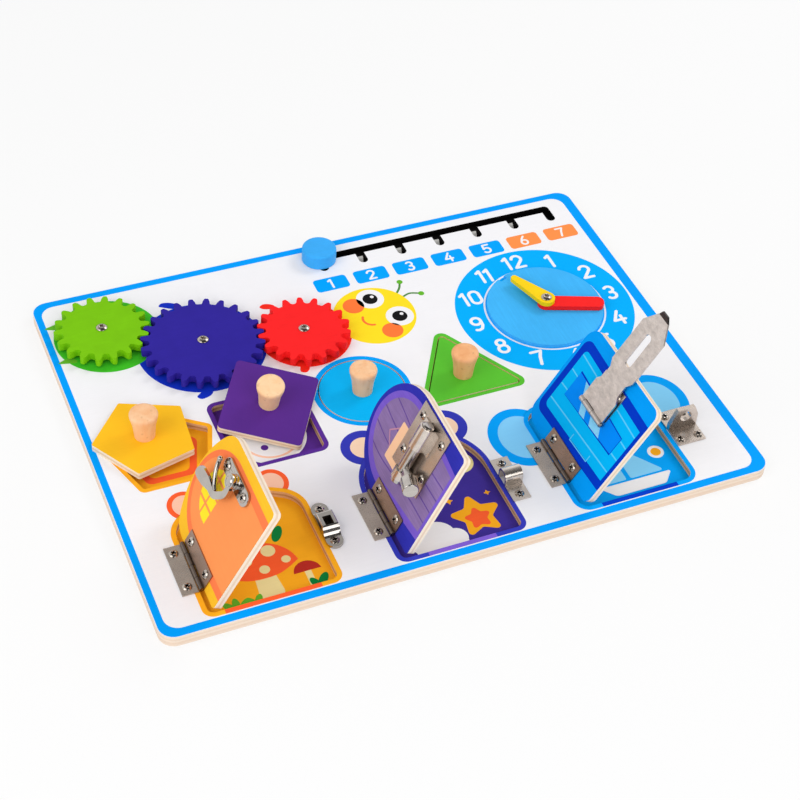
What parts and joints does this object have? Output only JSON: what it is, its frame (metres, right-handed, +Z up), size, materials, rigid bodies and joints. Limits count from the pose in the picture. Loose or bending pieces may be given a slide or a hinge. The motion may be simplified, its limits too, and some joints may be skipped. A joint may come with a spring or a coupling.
{
  "type": "wooden busy board",
  "caption": "Flat wooden activity board with meshing toy gears, a play clock, a day slider in a notched slot, shape tiles with pegs, and three latching doors over shallow recesses.",
  "frame": {"origin": "centre of the board's underside", "axes": "+X to the right along the board's long side, +Y to the edge with the day slider, +Z up out of the face"},
  "size_m": [0.4, 0.3, 0.1139],
  "materials": {
    "panel_back": "pale plywood, raw below, printed under the recesses",
    "panel_face": "plywood with a satin printed white face and a blue border",
    "green_paint": "satin painted plywood",
    "blue_paint": "satin painted plywood",
    "red_paint": "satin painted plywood",
    "sky_paint": "satin painted plywood, grain showing",
    "red_plastic": "gloss",
    "yellow_plastic": "gloss",
    "grey_plastic": "matt",
    "blue_plastic": "satin",
    "orange_paint": "satin painted plywood, raw edges",
    "purple_paint": "satin painted plywood, raw edges",
    "azure_paint": "satin painted plywood, raw edges",
    "lime_paint": "satin painted plywood, raw edges",
    "peg_wood": "turned natural wood, satin",
    "door_orange": "printed plywood, raw edges",
    "door_violet": "printed plywood, raw edges",
    "door_blue": "printed plywood, raw edges",
    "chromed": "polished",
    "steel": "nickel plated, fine brushed"
  },
  "bodies": {
    "board": {"back_panel": "panel_back", "top_panel": "panel_face", "gear_washers": "steel", "gear_screws": "steel", "clock_disc": "sky_paint", "clock_washer": "steel", "clock_screw": "steel", "door1_board_leaf": "steel", "door1_hinge_pin": "steel", "door2_board_leaf": "steel", "door2_hinge_pin": "steel", "door3_board_leaf": "steel", "door3_hinge_pin": "steel", "board_hinge_screws": "steel", "keeper_screws": "steel", "sash_keeper": "chromed", "bolt_keeper": "steel", "hasp_staple": "steel"},
    "green_gear": {"green_gear": "green_paint"},
    "blue_gear": {"blue_gear": "blue_paint"},
    "red_gear": {"red_gear": "red_paint"},
    "minute_hand": {"minute_hand": "red_plastic"},
    "hour_hand": {"hour_hand": "yellow_plastic"},
    "slider_carrier": {"slider_carrier": "grey_plastic"},
    "slider_knob": {"slider_stem": "steel", "slider_knob": "blue_plastic"},
    "pentagon_tile": {"pentagon_tile": "orange_paint", "pentagon_peg": "peg_wood"},
    "square_tile": {"square_tile": "purple_paint", "square_peg": "peg_wood"},
    "round_tile": {"round_tile": "azure_paint", "round_peg": "peg_wood"},
    "triangle_tile": {"triangle_tile": "lime_paint", "triangle_peg": "peg_wood"},
    "door1": {"door1_panel": "door_orange", "door1_door_leaf": "steel", "door1_screws": "steel", "sash_base": "chromed", "sash_rivet": "chromed"},
    "sash_lever": {"sash_lever": "chromed"},
    "door2": {"door2_panel": "door_violet", "door2_door_leaf": "steel", "door2_screws": "steel", "bolt_plate": "steel", "bolt_guides": "steel"},
    "bolt": {"bolt_rod": "chromed", "bolt_knob": "chromed"},
    "door3": {"door3_panel": "door_blue", "door3_door_leaf": "steel", "door3_screws": "steel", "hasp_leaf": "steel", "hasp_pin": "steel"},
    "hasp_strap": {"hasp_strap": "steel"}
  },
  "joints": [
    {"name": "blue_gear_spin", "type": "hinge", "parent": "board", "child": "blue_gear", "pos_m": [-0.104, 0.073, 0.0103], "axis": [0, 0, 1], "continuous": true},
    {"name": "green_gear_spin", "type": "hinge", "parent": "board", "child": "green_gear", "pos_m": [-0.16277, 0.10558, 0.0103], "axis": [0, 0, 1], "continuous": true},
    {"name": "red_gear_spin", "type": "hinge", "parent": "board", "child": "red_gear", "pos_m": [-0.03772, 0.06191, 0.0103], "axis": [0, 0, 1], "continuous": true},
    {"name": "minute_hand_turn", "type": "hinge", "parent": "board", "child": "minute_hand", "pos_m": [0.1288, 0.0357, 0.011], "axis": [0, 0, 1], "continuous": true},
    {"name": "hour_hand_turn", "type": "hinge", "parent": "board", "child": "hour_hand", "pos_m": [0.1288, 0.0357, 0.0149], "axis": [0, 0, 1], "continuous": true},
    {"name": "slider_along_slot", "type": "slide", "parent": "board", "child": "slider_carrier", "axis": [1, 0, 0], "range_m": [0, 0.1758]},
    {"name": "slider_into_stop", "type": "slide", "parent": "slider_carrier", "child": "slider_knob", "axis": [0, 1, 0], "range_m": [-0.0105, 0]},
    {"name": "pentagon_tile_lift", "type": "slide", "parent": "board", "child": "pentagon_tile", "axis": [0, 0, 1], "range_m": [0, 0.06]},
    {"name": "square_tile_lift", "type": "slide", "parent": "board", "child": "square_tile", "axis": [0, 0, 1], "range_m": [0, 0.06]},
    {"name": "round_tile_lift", "type": "slide", "parent": "board", "child": "round_tile", "axis": [0, 0, 1], "range_m": [0, 0.06]},
    {"name": "triangle_tile_lift", "type": "slide", "parent": "board", "child": "triangle_tile", "axis": [0, 0, 1], "range_m": [0, 0.06]},
    {"name": "door1_hinge", "type": "hinge", "parent": "board", "child": "door1", "pos_m": [-0.1682, -0.1043, 0.0096], "axis": [0, -1, 0], "range_deg": [-61, 69]},
    {"name": "door2_hinge", "type": "hinge", "parent": "board", "child": "door2", "pos_m": [-0.0485, -0.1025, 0.0096], "axis": [0, -1, 0], "range_deg": [-65, 65]},
    {"name": "door3_hinge", "type": "hinge", "parent": "board", "child": "door3", "pos_m": [0.0711, -0.0994, 0.0096], "axis": [0, -1, 0], "range_deg": [-58, 72]},
    {"name": "sash_lever_turn", "type": "hinge", "parent": "door1", "child": "sash_lever", "pos_m": [-0.14147, -0.0974, 0.06567], "axis": [-0.8746, 0, 0.4848], "range_deg": [-100, 0]},
    {"name": "bolt_slide", "type": "slide", "parent": "door2", "child": "bolt", "axis": [-0.4226, 0, -0.9063], "range_m": [-0.0132, 0]},
    {"name": "hasp_strap_flip", "type": "hinge", "parent": "door3", "child": "hasp_strap", "pos_m": [0.09182, -0.098, 0.04559], "axis": [0, 1, 0], "range_deg": [-135, 0]}
  ],
  "couplings": [
    {"joint": "green_gear_spin", "follows": "blue_gear_spin", "ratio": -1.3333},
    {"joint": "red_gear_spin", "follows": "blue_gear_spin", "ratio": -1.3333}
  ]
}
